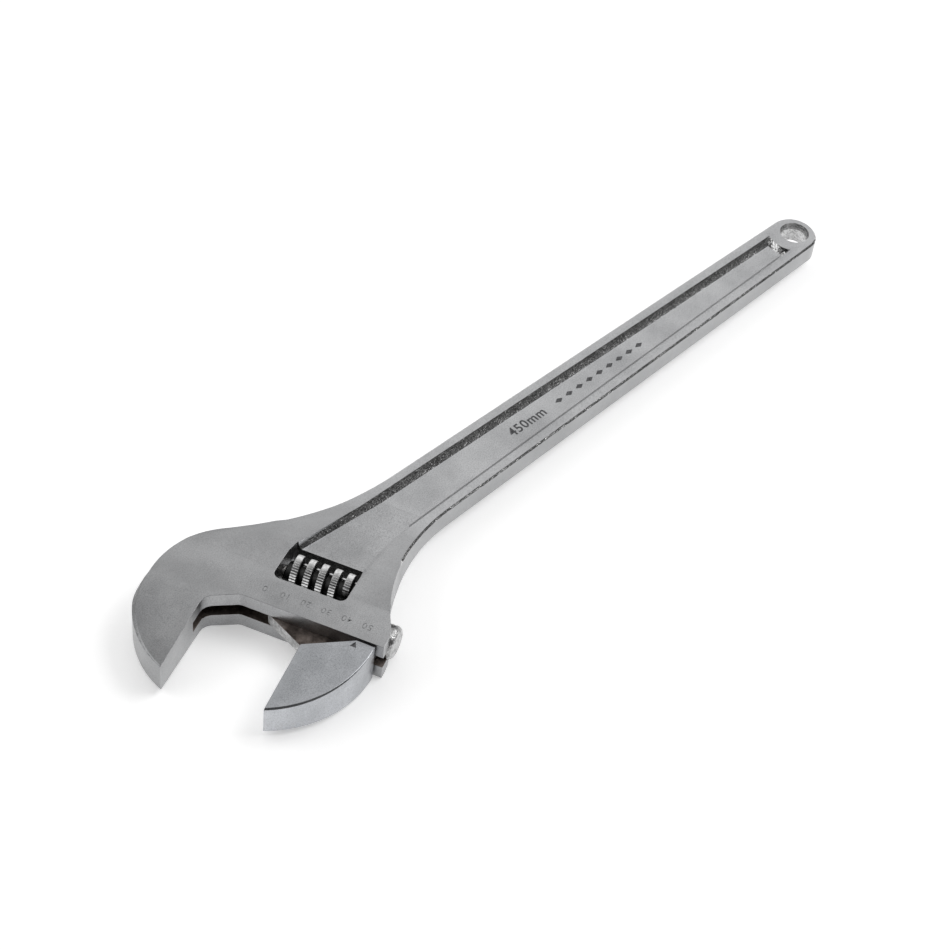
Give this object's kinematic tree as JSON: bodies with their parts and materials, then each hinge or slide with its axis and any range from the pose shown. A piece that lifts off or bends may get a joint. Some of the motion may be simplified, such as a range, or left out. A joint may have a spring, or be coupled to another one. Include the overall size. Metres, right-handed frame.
{
  "type": "adjustable wrench",
  "caption": "Chrome adjustable wrench with a fixed jaw, a sliding jaw driven by a knurled worm, and a tapered I-section handle with a hanging hole.",
  "frame": {"origin": "centre of the hanging hole at mid-thickness", "axes": "+X along the handle from the head towards the hanging hole, +Z out of the marked face, and the jaws open towards -Y. The jaw faces are square to (0.3827, -0.9239, 0), the way the movable jaw opens."},
  "size_m": [0.4518, 0.1072, 0.022],
  "materials": {
    "chrome_body": "satin chrome plate over forged steel, ground head faces",
    "chrome_jaw": "satin chrome plate over forged steel, rough slide end",
    "chrome_worm": "bright chrome plate, knurled ridge",
    "steel_pin": "turned steel",
    "spring_steel": "spring wire"
  },
  "bodies": {
    "frame": {"body": "chrome_body", "worm_pin": "steel_pin", "worm_spring": "spring_steel"},
    "jaw": {"movable_jaw": "chrome_jaw"},
    "thumb_screw": {"worm": "chrome_worm"}
  },
  "joints": [
    {"name": "jaw_slide", "type": "slide", "parent": "frame", "child": "jaw", "axis": [0.3827, -0.9239, 0], "range_m": [-0.0499, 0.005]},
    {"name": "worm_spin", "type": "hinge", "parent": "frame", "child": "thumb_screw", "pos_m": [-0.353, -0.00612, 0], "axis": [0.3827, -0.9239, 0], "range_deg": [-284, 2830]}
  ],
  "couplings": [
    {"joint": "worm_spin", "follows": "jaw_slide", "rad_per_m": -989.48}
  ]
}
